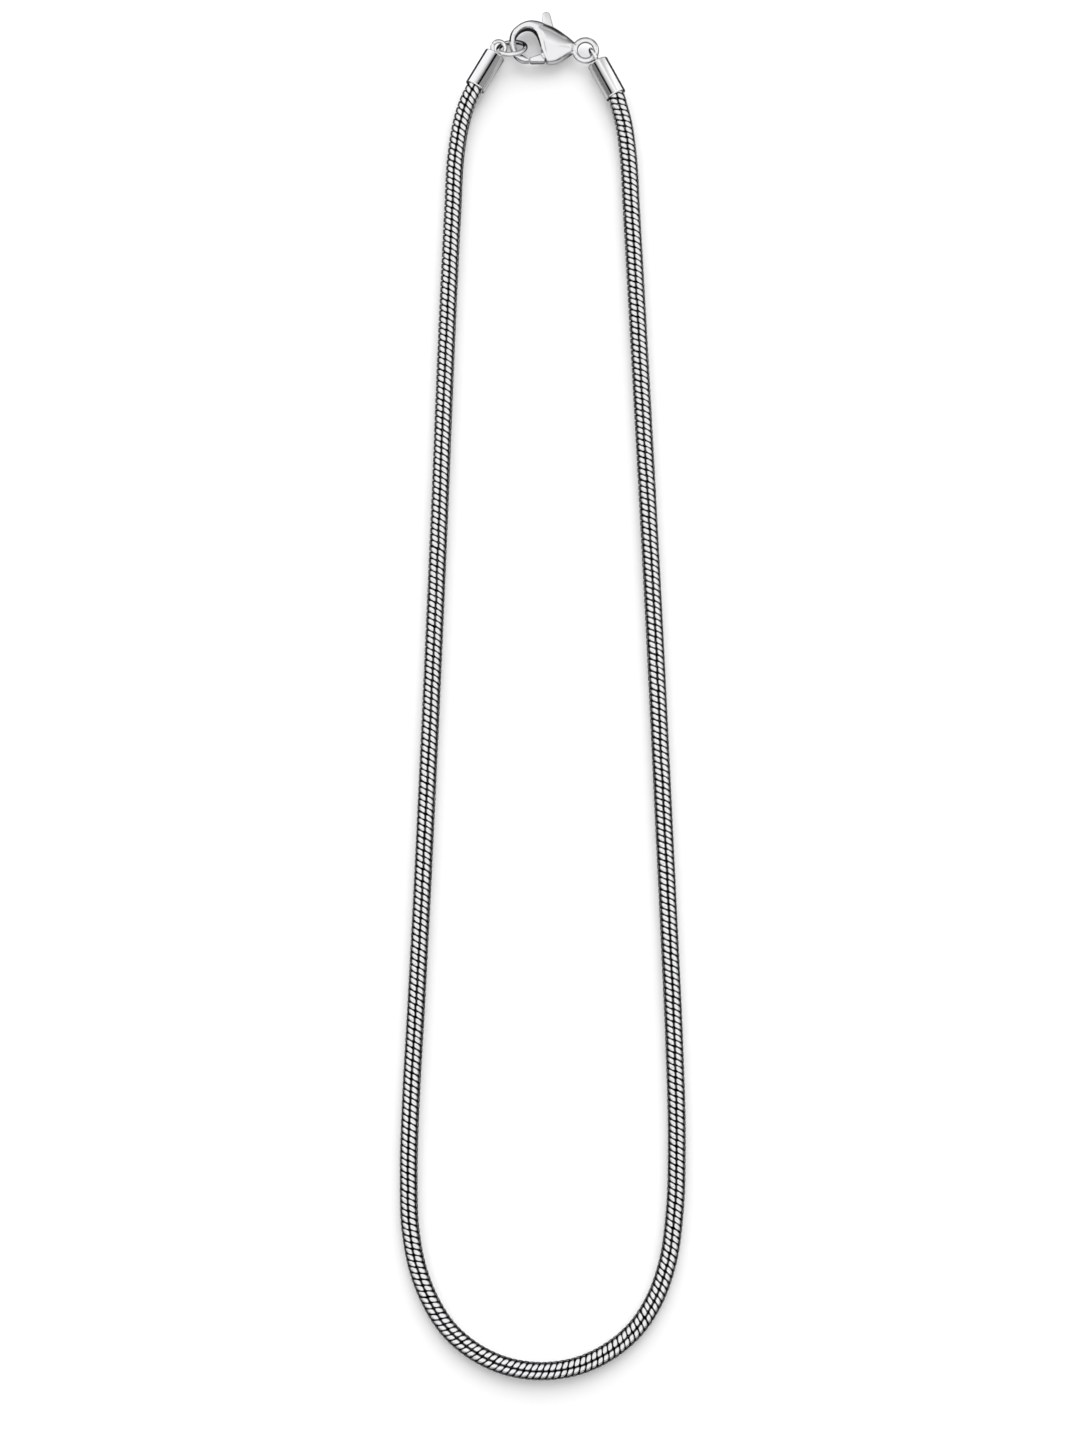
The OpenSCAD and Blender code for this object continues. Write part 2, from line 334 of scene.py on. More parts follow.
# Cards that the two end caps mirror: cosine to the cap's axis, half its width, where it has faded
# out, and strength at places from the cap's outer side, 0, to its inner side, 1
CARD_COSINE = 0.28
CARD_HALF = 0.017
CARD_FADE = 1.3
LEFT_STOPS = (
    (0.0, 1.32), (0.23, 1.28), (0.32, 1.08), (0.41, 0.8), (0.50, 0.53),
    (0.59, 0.22), (0.615, 0.003), (0.75, 0.003), (0.765, 0.38), (1.0, 0.4),
)
RIGHT_STOPS = (
    (0.0, 1.32), (0.40, 1.3), (0.49, 1.16), (0.59, 0.98), (0.675, 0.74),
    (0.74, 0.36), (0.765, 0.003), (0.86, 0.003), (0.88, 0.28), (1.0, 0.25),
)

# Dark flags that only the metal mirrors: foot in plan, heading of the back, half width and height,
# share of the half width at which the sides begin to fade, and the power by which it climbs to white
FLAGS = {
    "tall_flag": ((10.0, 124.5), 69.0, 23.0, 90.0, 0.6, 0.75),
    "back_flag": ((-3.0, 121.0), 90.0, 17.0, 12.0, 0.85, 4.0),
    "side_flag": ((-9.2, 106.6), 180.0, 3.6, 4.4, 0.8, 5.0),
}

# Softbox: place and size in metres, and power
KEY_AT = (0.3, 0.75, 0.85)
KEY_SIZE = 0.6
KEY_WATTS = 1.0

# Sheet: half its size, its brightness, and the painted shade of its mirror image near the metal:
# what the metal mirrors of the sheet is painted dark close to it. The image has two zones, an open
# one outside the caps and a dark one round the clasp: spans from the middle line and along Y over
# which they begin
SHEET_HALF = 1500.0
SHEET_WHITE = 0.93
PAINTED_MIRROR_DARK = 0.02
OPEN_SIDE = (11.5, 14.5)
OPEN_FROM = (86.0, 90.0)
DARK_FROM = (98.0, 102.0)

# Distances from the metal between which the painted image climbs from painted shade to white, each
# elsewhere, in the open zone and in the dark zone, and those below which it is painted darker
# still because the two all but touch
CLIMB_FROM = (5.0, 12.0, 14.0)
CLIMB_TO = (34.0, 26.0, 80.0)
TOUCH = (1.0, 2.4)
PAINTED_TOUCH_SHADE = 0.12

# Painted highlight patch of the mirror image below the clasp and its painted shade core: middle,
# half sizes, brightness, and the shares of the half sizes between which the edge fades
PATCH_AT = (0, 93.5, 0)
PATCH_REACH = (10.5, 7.0, 10)
PAINTED_PATCH_LIGHT = 0.55
PATCH_EDGE = (0.85, 1.05)
CORE_AT = (-2.0, 92.0, 0)
CORE_REACH = (3.2, 5.0, 10)
PAINTED_CORE_SHADE = 0.3
CORE_EDGE = (0.7, 1.1)

# Camera: place above the necklace, tilt from straight down, sensor, clipping in metres, and focal
# length in pixels of a frame that is 1448 pixels high
CAMERA_AT = np.array([0.036, -77.535, 500.085])
CAMERA_TILT = 8.0
SENSOR = 36.0
CLIP = (0.01, 20.0)
FRAME_H = 1448
FOCAL_PX = 3237


def hermite_line(points, samples):
    """Smooth curve through points: cubic spans whose end slopes average the neighbouring chords'
    slopes, the shorter chord counting more; each span has that many samples."""
    points = np.asarray(points, float)
    step = np.diff(points, axis=0)
    chord = np.linalg.norm(step, axis=1)[:, None]
    grade = step / chord
    inner = (grade[1:] * chord[:-1] + grade[:-1] * chord[1:]) / (chord[:-1] + chord[1:])
    slope = np.vstack([grade[:1], inner, grade[-1:]])
    t = np.linspace(0, 1, samples, endpoint=False)[None, :, None]
    start, end = points[:-1, None], points[1:, None]
    leave, arrive = (slope[:-1] * chord)[:, None], (slope[1:] * chord)[:, None]
    span = ((2 * t**3 - 3 * t**2 + 1) * start + (t**3 - 2 * t**2 + t) * leave
            + (3 * t**2 - 2 * t**3) * end + (t**3 - t**2) * arrive)
    return np.vstack([span.reshape(-1, points.shape[1]), points[-1:]])


def turned(points, degrees, axis):
    """Points turned about a frame axis (0, 1 or 2) through the origin."""
    c, s = math.cos(math.radians(degrees)), math.sin(math.radians(degrees))
    a, b = (axis + 1) % 3, (axis + 2) % 3
    out = np.array(points, float)
    out[..., a] = c * points[..., a] - s * points[..., b]
    out[..., b] = s * points[..., a] + c * points[..., b]
    return out


def heading(degrees):
    """Unit vector in plan at an angle from the X axis."""
    return np.array([math.cos(math.radians(degrees)), math.sin(math.radians(degrees)), 0])


def squared(c, power):
    """A sine or cosine raised so that the circle it draws is squared off: power 2 is round."""
    return np.sign(c) * np.abs(c) ** (2 / power)


def grid_faces(rows, cols, wrap_rows=True, wrap_cols=True):
    """Quads between neighbouring points of a grid that is stored row after row."""
    down = np.arange(rows - (not wrap_rows))
    over = np.arange(cols - (not wrap_cols))
    r, c = np.meshgrid(down, over, indexing="ij")
    r_next, c_next = (r + 1) % rows, (c + 1) % cols
    quads = np.stack([r * cols + c, r * cols + c_next, r_next * cols + c_next, r_next * cols + c], -1)
    return quads.reshape(-1, 4)


def signed_volume(points, faces):
    """Six times the volume inside a closed skin, negative if its faces point inwards."""
    total = 0.0
    for group in faces:
        for k in range(1, group.shape[1] - 1):
            a, b, c = points[group[:, 0]], points[group[:, k]], points[group[:, k + 1]]
            total += np.einsum("ij,ij->", a, np.cross(b, c))
    return total


def closed_mesh(name, points, faces):
    """A smooth mesh in millimetres with its faces turned outwards."""
    points = np.asarray(points, float).reshape(-1, 3)
    if signed_volume(points - points.mean(0), faces) < 0:
        faces = [group[:, ::-1] for group in faces]
    corners = np.concatenate([group.ravel() for group in faces])
    sizes = np.concatenate([np.full(len(group), group.shape[1]) for group in faces])
    mesh = bpy.data.meshes.new(name)
    mesh.vertices.add(len(points))
    mesh.vertices.foreach_set("co", points.astype(np.float32).ravel())
    mesh.loops.add(len(corners))
    mesh.loops.foreach_set("vertex_index", corners.astype(np.int32))
    mesh.polygons.add(len(sizes))
    mesh.polygons.foreach_set("loop_start", (np.cumsum(sizes) - sizes).astype(np.int32))
    mesh.update(calc_edges=True)
    mesh.validate()
    mesh.shade_smooth()
    return mesh


def loft_mesh(name, rings):
    """Skin over closed rings of equally many points, each end closed by a fan to its middle."""
    rings = np.asarray(rings, float)
    rows, cols = rings.shape[:2]
    points = np.vstack([rings.reshape(-1, 3), rings[0].mean(0), rings[-1].mean(0)])
    foot_middle, head_middle = rows * cols, rows * cols + 1
    around = np.arange(cols)
    onward = (around + 1) % cols
    last = (rows - 1) * cols
    foot = np.stack([np.full(cols, foot_middle), onward, around], -1)
    head = np.stack([np.full(cols, head_middle), last + around, last + onward], -1)
    return closed_mesh(name, points, [grid_faces(rows, cols, wrap_rows=False), np.vstack([foot, head])])


def lathe_rings(profile, sides):
    """A profile of (along X, radius) turned about the X axis, one ring for each of its points."""
    a = np.linspace(0, 2 * np.pi, sides, endpoint=False)
    along, radius = np.asarray(profile, float).T[..., None]
    return np.stack([along + 0 * a, radius * np.cos(a), radius * np.sin(a)], -1)


def ring_points(middle_r, wire_r, around, across):
    """A round wire bent to a full ring that lies flat about the origin: the wire's circle at an
    angle v, carried round at an angle u."""
    u = np.linspace(0, 2 * np.pi, around, endpoint=False)[:, None]
    v = np.linspace(0, 2 * np.pi, across, endpoint=False)[None, :]
    reach = middle_r + wire_r * np.cos(v)
    return np.stack([reach * np.cos(u), reach * np.sin(u), wire_r * np.sin(v) + 0 * u], -1)


def ring_mesh(name, points):
    """Skin over a ring's grid, which closes on itself both ways."""
    return closed_mesh(name, points, [grid_faces(*points.shape[:2])])


def prism_mesh(name, outline, low, high):
    """An outline in plan carried straight up from one height to another."""
    outline = np.asarray(outline, float)
    count = len(outline)
    rings = [np.column_stack([outline, np.full(count, z)]) for z in (low, high)]
    walls = grid_faces(2, count, wrap_rows=False)
    lids = np.array([np.arange(count)[::-1], np.arange(count, 2 * count)])
    return closed_mesh(name, np.vstack(rings), [walls, lids])


def arc(centre, radius, start, end, steps):
    """Points on a circle in a profile's plane, from one angle in degrees to another."""
    a = np.radians(np.linspace(start, end, steps))
    return np.column_stack([centre[0] + radius * np.cos(a), centre[1] + radius * np.sin(a)])


def circle(centre, radius, sides):
    """Outline of a whole circle, anticlockwise."""
    return arc(centre, radius, 0, 360 - 360 / sides, sides)


def in_scene(name, data):
    """A new object for a mesh, a light or a camera, linked to the scene."""
    thing = bpy.data.objects.new(name, data)
    bpy.context.scene.collection.objects.link(thing)
    return thing


def shaped(mesh, *modifiers):
    """The mesh that a list of (kind, settings) modifiers leaves, with nothing left live."""
    holder = in_scene("holder", mesh)
    tools = []
    for kind, settings in modifiers:
        modifier = holder.modifiers.new(kind.lower(), kind)
        for key, value in settings.items():
            if isinstance(value, bpy.types.Mesh):
                value = in_scene("tool", value)
                tools.append(value)
            setattr(modifier, key, value)
    depsgraph = bpy.context.evaluated_depsgraph_get()
    result = bpy.data.meshes.new_from_object(holder.evaluated_get(depsgraph))
    for extra in [holder, *tools]:
        bpy.data.objects.remove(extra)
    return result


def boolean(operation, mesh, others):
    """A closed mesh after a Boolean operation with each of the others."""
    steps = [dict(operation=operation, solver="MANIFOLD", object=other) for other in others]
    return shaped(mesh, *[("BOOLEAN", step) for step in steps])


def joined(mesh, *others):
    """Closed meshes fused into one skin."""
    return boolean("UNION", mesh, others)


def cut(mesh, *others):
    """A closed mesh with others taken out of it."""
    return boolean("DIFFERENCE", mesh, others)


def mesh_points(mesh):
    """Places of a mesh's vertices, as an array."""
    points = np.zeros(len(mesh.vertices) * 3, np.float32)
    mesh.vertices.foreach_get("co", points)
    return points.reshape(-1, 3).astype(float)


def put_points(mesh, points):
    """Moves a mesh's vertices to the places in an array."""
    mesh.vertices.foreach_set("co", np.asarray(points, np.float32).ravel())
    mesh.update()


def piece(name, mesh, body, material, node, crease=CREASE):
    """The finished piece: its mesh turned to metres, smooth but for its creases, riding on a body."""
    put_points(mesh, mesh_points(mesh) * MM)
    mesh.name = name
    mesh.shade_smooth()
    mesh.set_sharp_from_angle(angle=math.radians(crease))
    mesh.materials.clear()
    mesh.materials.append(material)
    thing = in_scene(name, mesh)
    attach(thing, body)
    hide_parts(node)
    return thing


def chain_line():
    """The chain's middle line from seat to seat, finely sampled: length so far, and the points."""
    left_seat = LEFT_MOUTH + CHAIN_SEAT * heading(LEFT_HEADING)
    right_seat = RIGHT_MOUTH + CHAIN_SEAT * heading(RIGHT_HEADING)
    line = hermite_line(np.vstack([left_seat, LEFT_MOUTH, CHAIN_ROUTE, RIGHT_MOUTH, right_seat]), ROUTE_STEPS)
    far = np.concatenate([[0], np.cumsum(np.linalg.norm(np.diff(line, axis=0), axis=1))])
    return far, line


def along_line(far, line, s):
    """Point, sideways and upward directions of the line at lengths s; straight on past its ends."""
    grade = np.gradient(line, far, axis=0)
    at = np.stack([np.interp(s, far, line[:, k]) for k in range(3)], -1)
    way = np.stack([np.interp(s, far, grade[:, k]) for k in range(3)], -1)
    way /= np.linalg.norm(way, axis=-1, keepdims=True)
    past = s - np.clip(s, far[0], far[-1])
    side = np.cross(way, UP)
    side /= np.linalg.norm(side, axis=-1, keepdims=True)
    return at + past[..., None] * way, side, np.cross(side, way)


def link_template():
    """One link unrolled: for each point of its grid the angle round the chain, the offset along it,
    the radius and the share of grime and painted shade. The middle of a scale slants steadily; the
    valley joins two scales."""
    share, width, dip = SCALE_STATIONS.T
    column = np.arange(SCALES)[:, None]
    column_turn = 2 * np.pi / SCALES
    turn = column_turn * (column + share)
    offset = np.where(column % 2 == 0, -STAGGER, STAGGER) * LINK_PITCH
    slant = SLANT * CHAIN_R * column_turn
    before = np.roll(offset, 1, axis=0) - slant * 0.5
    after = offset + slant * 0.5
    middle = np.where(share == 0, (before + after) / 2, offset - slant * (share - 0.5))
    half = SCALE_HALF * LINK_PITCH * width + 0 * column
    crown = CHAIN_R - VALLEY_DIP * dip + 0 * column
    # Share of grime and painted shade that the valley adds
    valley = np.clip(VALLEY_GRIME_SHADE * dip, 0, 1) + 0 * column
    turn, middle, half, crown, valley = (a.reshape(-1, 1) for a in (turn, middle, half, crown, valley))
    reach, depth, dirt_shade = BAND_SECTION.T
    along = middle + half * reach
    return turn + 0 * along, along, crown - depth, np.maximum(dirt_shade, valley)


def chain_links(name, first, last, count, far, line, material):
    """Links first to last of the whole run as one mesh: the unrolled link is laid round the line,
    with a slow wander of its turn and a little looseness from link to link."""
    turn, along, radius, grime_shade = link_template()
    number = np.arange(first, last)
    loose = np.random.default_rng(LOOSE_SEED).normal(size=(count, 3))[first:last]
    pitch = far[-1] / count
    shift = LOOSE_SHIFT * np.clip(loose[:, 0], -LOOSE_LIMIT, LOOSE_LIMIT)
    centre = (number + 0.5) * pitch + shift
    wander = sum(swing * np.sin(centre / length + start) for swing, length, start in WANDER)
    wander = wander + LOOSE_TURN * loose[:, 1]
    s = centre[:, None, None] + along * (pitch / LINK_PITCH)
    angle = turn + np.radians(wander)[:, None, None]
    at, side, up = along_line(far, line, s)
    out = side * np.sin(angle)[..., None] + up * np.cos(angle)[..., None]
    points = at + out * radius[..., None]
    one = grid_faces(*turn.shape)
    faces = (one[None] + (np.arange(len(number)) * turn.size)[:, None, None]).reshape(-1, 4)
    mesh = closed_mesh(name, points, [faces])
    # Grime and painted shade of each point, for the links' colour
    shade = mesh.attributes.new("joint_grime_shade", "FLOAT", "POINT")
    shade.data.foreach_set("value", np.tile(grime_shade.ravel(), len(number)).astype(np.float32))
    return piece(name, mesh, "necklace", material, "chain", crease=NO_CREASE)


def whole_chain(material):
    """The chain's two runs of links, which meet at the bottom bend."""
    far, line = chain_line()
    count = round(far[-1] / LINK_PITCH)
    chain_links("chain_links_left", 0, count // 2, count, far, line, material)
    chain_links("chain_links_right", count // 2, count, count, far, line, material)


def barrel_profile():
    """Half section of a barrel, from the foot of its bore round both rims to its closed end."""
    return np.vstack([
        [(BORE_END, BORE_R)],
        arc((LIP_EDGE, BORE_R + LIP_EDGE), LIP_EDGE, 270, 180, LIP_STEPS),
        arc((CAP_EDGE, CAP_R - CAP_EDGE), CAP_EDGE, 180, 90, RIM_STEPS),
        [(CAP_EDGE + CAP_HOLD, CAP_R), (CAP_LEN - CAP_EDGE - CAP_HOLD, CAP_R)],
        arc((CAP_LEN - CAP_EDGE, CAP_R - CAP_EDGE), CAP_EDGE, 90, 0, RIM_STEPS),
    ])


def solder_rings():
    """Ball stretched to the mound's half sizes: rings of a sine radius, from pole to pole."""
    rows, sides = MOUND_GRID
    u = np.radians(np.linspace(MOUND_POLE, 180 - MOUND_POLE, rows))
    return lathe_rings(np.column_stack([-np.cos(u), np.sin(u)]), sides) * SOLDER_HALF


def end_cap(name, node_name, mouth, angle, roll, material):
    """A barrel turned on a lathe, with rounded rims and a bore for the chain, fused with its wire
    eye and the low mound of solder under it."""
    barrel = loft_mesh("barrel", lathe_rings(barrel_profile(), CAP_SIDES))
    eye = turned(ring_points(EYE_R, EYE_WIRE_R, *EYE_GRID), roll, 0) + (CAP_LEN + EYE_REACH, 0, 0)
    mound = turned(solder_rings(), roll, 0) + (CAP_LEN, 0, 0)
    mesh = joined(barrel, ring_mesh("eye", eye), loft_mesh("solder", mound))
    put_points(mesh, turned(mesh_points(mesh), angle, 2) + mouth)
    return piece(name, mesh, "necklace", material, node_name)


def jump_ring(material):
    """The wire ring, tilted up and turned in plan."""
    points = turned(ring_points(JUMP_R, JUMP_WIRE_R, *JUMP_GRID), -JUMP_TILT, 0)
    points = turned(points, JUMP_TURN, 2) + JUMP_AT
    return piece("jump_ring_wire", ring_mesh("jump_ring", points), "necklace", material,
                 "jump_ring")


def hook_rings():
    """Squared rings between the hook's inner and outer line, along its smooth table."""
    steps, sides = HOOK_GRID
    rows = hermite_line(HOOK_ROWS, steps)
    a = np.linspace(0, 2 * np.pi, sides, endpoint=False)
    inner, outer, thick, square = rows[:, 0:2], rows[:, 2:4], rows[:, 4:5], rows[:, 5:6]
    across = squared(np.cos(a), square)[..., None]
    plan = (inner + outer)[:, None] / 2 + (outer - inner)[:, None] / 2 * across
    rise = thick / 2 * squared(np.sin(a), square)
    return np.concatenate([plan, rise[..., None]], -1)


def belly_rings():
    """Squared rings square to the clasp's length, along the belly's smooth table."""
    steps, sides = BELLY_GRID
    rows = hermite_line(BELLY_ROWS, steps)
    a = np.linspace(0, 2 * np.pi, sides, endpoint=False)
    x, low, high, thick, square = rows.T[..., None]
    y = (low + high) / 2 + (high - low) / 2 * squared(np.cos(a), square)
    return np.stack([x + 0 * y, y, thick / 2 * squared(np.sin(a), square)], -1)


def mouth_outline():
    """Plan of what the mouth takes out of the belly."""
    wall = hermite_line(MOUTH_WALL, MOUTH_STEPS)
    return np.vstack([wall, (wall[-1, 0], MOUTH_FOOT), (MOUTH_FAR, MOUTH_FOOT), (MOUTH_FAR, wall[0, 1])])


def wedge(start, end, reach):
    """A wedge of a circle about the pivot."""
    return np.vstack([[(0.0, 0.0)], arc((0, 0), reach, start, end, WEDGE_STEPS)])


def slot_outlines():
    """Plans whose sum is the lever's slot: hub pocket, blade sweep, and the tab's way out."""
    shut = math.degrees(math.atan2(TAB_ROOT[1], TAB_ROOT[0]))
    half = HUB_R + SLOT_GAP
    box = np.array([(0, -half, 0), (SLOT_OUT, -half, 0), (SLOT_OUT, half, 0), (0, half, 0)])
    outlines = [circle((0, 0), half, BORE_SIDES), wedge(*BLADE_SWEEP, BLADE_REACH),
                wedge(shut - LEVER_TRAVEL, shut, SLOT_OUT)]
    return outlines + [turned(box, angle, 2)[:, :2] for angle in (shut - LEVER_TRAVEL, shut)]


def lower_the_land(points):
    """Presses the land beside the mouth: up to its width from the mouth's wall the height is held to
    the land's, and past it the limit climbs with a steepness that grows towards the foot."""
    wall = hermite_line(MOUTH_WALL[LAND_FROM:], MOUTH_STEPS)
    gap = np.sqrt(((points[:, None, :2] - wall[None]) ** 2).sum(-1)).min(1)
    down = np.clip((points[:, 1] - LAND_SPAN[0]) / (LAND_SPAN[1] - LAND_SPAN[0]), 0, 1)
    steep = LAND_STEEP[0] + (LAND_STEEP[1] - LAND_STEEP[0]) * down
    limit = LAND_Z + steep * np.clip(gap - LAND_W, 0, None)
    over = (limit - np.abs(points[:, 2])) / LAND_SOFT
    pressed = np.sign(points[:, 2]) * (limit - LAND_SOFT * np.logaddexp(0, over))
    return np.column_stack([points[:, :2], np.where(gap < LAND_NEAR, pressed, points[:, 2])])


def clasp_casting(material):
    """Hook, belly, neck and tail ring fused, skinned on a fine grid and rubbed smooth as a cast
    piece is, then slotted for the lever and bored for its pin."""
    belly = cut(loft_mesh("belly", belly_rings()),
                prism_mesh("mouth", mouth_outline(), -CUT_H / 2, CUT_H / 2))
    tail = ring_mesh("tail", ring_points(TAIL_R, TAIL_WIRE_R, *TAIL_GRID) + TAIL_AT)
    cast = joined(belly, loft_mesh("hook", hook_rings()), tail)
    cast = shaped(cast, ("REMESH", dict(mode="VOXEL", voxel_size=CAST_GRID)),
                  ("SMOOTH", dict(factor=RUB, iterations=CAST_RUBS)))
    put_points(cast, lower_the_land(mesh_points(cast)))
    cast = shaped(cast, ("SMOOTH", dict(factor=RUB, iterations=LAND_RUBS)))
    slots = [prism_mesh("slot", outline, -SLOT_H / 2, SLOT_H / 2) for outline in slot_outlines()]
    bore = prism_mesh("bore", circle((0, 0), PIN_BORE_R, BORE_SIDES), PIN_BORE_FOOT, PIN_BORE_TOP)
    cast = cut(cast, *slots, bore)
    put_points(cast, mesh_points(cast) + PIVOT)
    return piece("clasp_casting", cast, "necklace", material, "clasp_body",
                 crease=CAST_CREASE)


def hull_of_discs(*discs):
    """Convex outline round discs given as (x, y, radius), anticlockwise from its leftmost point: at
    each direction in turn, the point of the discs that reaches furthest."""
    points = np.vstack([circle((x, y), r, DISC_SIDES) for x, y, r in discs])
    a = np.radians(np.arange(HULL_STEP / 2, 360, HULL_STEP))
    furthest = (points @ np.array([np.cos(a), np.sin(a)])).argmax(0)
    hull = points[furthest[furthest != np.roll(furthest, 1)]]
    return np.roll(hull, -np.lexsort((hull[:, 1], hull[:, 0]))[0], axis=0)


def pulled_in(outline, distance):
    """A convex anticlockwise outline with every side moved inwards by the distance."""
    side = np.roll(outline, -1, axis=0) - outline
    normal = np.column_stack([-side[:, 1], side[:, 0]]) / np.linalg.norm(side, axis=1, keepdims=True)
    before = np.roll(normal, 1, axis=0)
    return outline + distance * (before + normal) / (1 + (before * normal).sum(1, keepdims=True))


def pillow(name, core, edge, half, corner_steps):
    """A convex outline carried up and down with rounded edges: the core outline grown by the cosine
    of an edge angle times the rounding, at the height of its sine; corners are swung in arcs."""
    side = np.roll(core, -1, axis=0) - core
    out = np.degrees(np.arctan2(-side[:, 0], side[:, 1]))
    start = np.roll(out, 1)
    swing = (out - start + 360) % 360
    share = np.linspace(0, 1, corner_steps)
    angle = np.radians(start[:, None] + swing[:, None] * share).ravel()
    base = np.repeat(core, corner_steps, axis=0)
    way = np.column_stack([np.cos(angle), np.sin(angle)])
    rise = np.radians(np.linspace(-90, 90, PILLOW_ROWS))[:, None]
    plan = base + way * edge * np.cos(rise)[..., None]
    level = (half - edge) * np.sign(rise) + edge * np.sin(rise)
    return loft_mesh(name, np.concatenate([plan, (level + 0 * angle)[..., None]], -1))


def lever_casting(material):
    """Thumb tab, hub, blade and gate with rounded edges, fused and bored for the pin."""
    tip = (*TAB_TIP, TAB_TIP_R - TAB_EDGE)
    root = (*TAB_ROOT, TAB_ROOT_R - TAB_EDGE)
    hub = (0, 0, HUB_R - TAB_EDGE)
    blade = pulled_in(BLADE_OUTLINE, BLADE_EDGE)
    gate = pulled_in(GATE_OUTLINE, GATE_EDGE)
    mesh = joined(pillow("tab", hull_of_discs(tip, root), TAB_EDGE, TAB_HALF, TAB_CORNER),
                  pillow("neck", hull_of_discs(root, hub), TAB_EDGE, TAB_HALF, TAB_CORNER),
                  pillow("blade", blade, BLADE_EDGE, TAB_HALF, BLADE_CORNER),
                  pillow("gate", gate, GATE_EDGE, GATE_HALF, GATE_CORNER))
    mesh = cut(mesh, prism_mesh("bore", circle((0, 0), LEVER_BORE_R, BORE_SIDES), -CUT_H, CUT_H))
    put_points(mesh, mesh_points(mesh) + PIVOT)
    return piece("lever_casting", mesh, "lever", material, "lever", crease=LEVER_CREASE)


def pivot_pin(material):
    """The pin keeps the construction model's shape and only gets its finish."""
    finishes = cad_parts["pivot_pin"].data.materials
    finishes.clear()
    finishes.append(material)


def node(tree, kind, at, **settings):
    """A shader node with its properties and its unlinked inputs set by name."""
    made = tree.nodes.new(kind)
    made.location = at
    for key, value in settings.items():
        if hasattr(made, key):
            setattr(made, key, value)
        else:
            made.inputs[key.replace("_", " ")].default_value = value
    return made


def wired(tree, *links):
    """Links given as (from node, output, to node, input)."""
    for source, output, target, socket in links:
        tree.links.new(source.outputs[output], target.inputs[socket])


def feed(tree, socket, value):
    """Links an output to an input, or sets the input to a plain value."""
    if isinstance(value, bpy.types.NodeSocket):
        tree.links.new(value, socket)
    else:
        socket.default_value = value


def dotted(tree, vector, constant, at):
    """Output of the dot product of a linked vector with a constant one."""
    dot = node(tree, "ShaderNodeVectorMath", at, operation="DOT_PRODUCT")
    dot.inputs[1].default_value = constant
    tree.links.new(vector, dot.inputs[0])
    return dot.outputs["Value"]


def ranged(tree, value, low, high, bottom, top, at, way="SMOOTHSTEP"):
    """Output that goes from bottom to top while the value goes from low to high."""
    span = node(tree, "ShaderNodeMapRange", at, interpolation_type=way)
    labels = ("Value", "From Min", "From Max", "To Min", "To Max")
    for label, fed in zip(labels, (value, low, high, bottom, top)):
        feed(tree, span.inputs[label], fed)
    return span.outputs["Result"]


def stepped(tree, value, span, bottom, at):
    """Output that climbs smoothly from bottom to one between two lengths in millimetres."""
    return ranged(tree, value, span[0] * MM, span[1] * MM, bottom, 1, at)


def combined(tree, operation, a, b, at):
    """Output of a math node on two linked outputs or plain numbers."""
    both = node(tree, "ShaderNodeMath", at, operation=operation)
    feed(tree, both.inputs[0], a)
    feed(tree, both.inputs[1], b)
    return both.outputs["Value"]


def mixed(tree, share, a, b, at, kind="FLOAT"):
    """Output that goes from a to b while the share goes from none to one."""
    mix = node(tree, "ShaderNodeMix", at, data_type=kind)
    for label, fed in (("Factor", share), ("A", a), ("B", b)):
        feed(tree, mix.inputs[label], fed)
    return mix.outputs["Result"]


def cleared_tree(owner):
    """The emptied node tree of a material or a world."""
    owner.use_nodes = True
    owner.node_tree.nodes.clear()
    return owner.node_tree


def new_material(name):
    """An empty node material with its output and Principled shader, linked."""
    material = bpy.data.materials.new(name)
    tree = cleared_tree(material)
    output = node(tree, "ShaderNodeOutputMaterial", (600, 0))
    shader = node(tree, "ShaderNodeBsdfPrincipled", (300, 0))
    wired(tree, (shader, "BSDF", output, "Surface"))
    return material, tree, shader


def new_group(name, inputs, outputs):
    """A shader node group with named sockets: {name: (kind, value)} in, {name: kind} out."""
    group = bpy.data.node_groups.new(name, "ShaderNodeTree")
    for label, (kind, value) in inputs.items():
        group.interface.new_socket(label, in_out="INPUT", socket_type=kind).default_value = value
    for label, kind in outputs.items():
        group.interface.new_socket(label, in_out="OUTPUT", socket_type=kind)
    return group, node(group, "NodeGroupInput", (-900, 0)), node(group, "NodeGroupOutput", (600, 0))


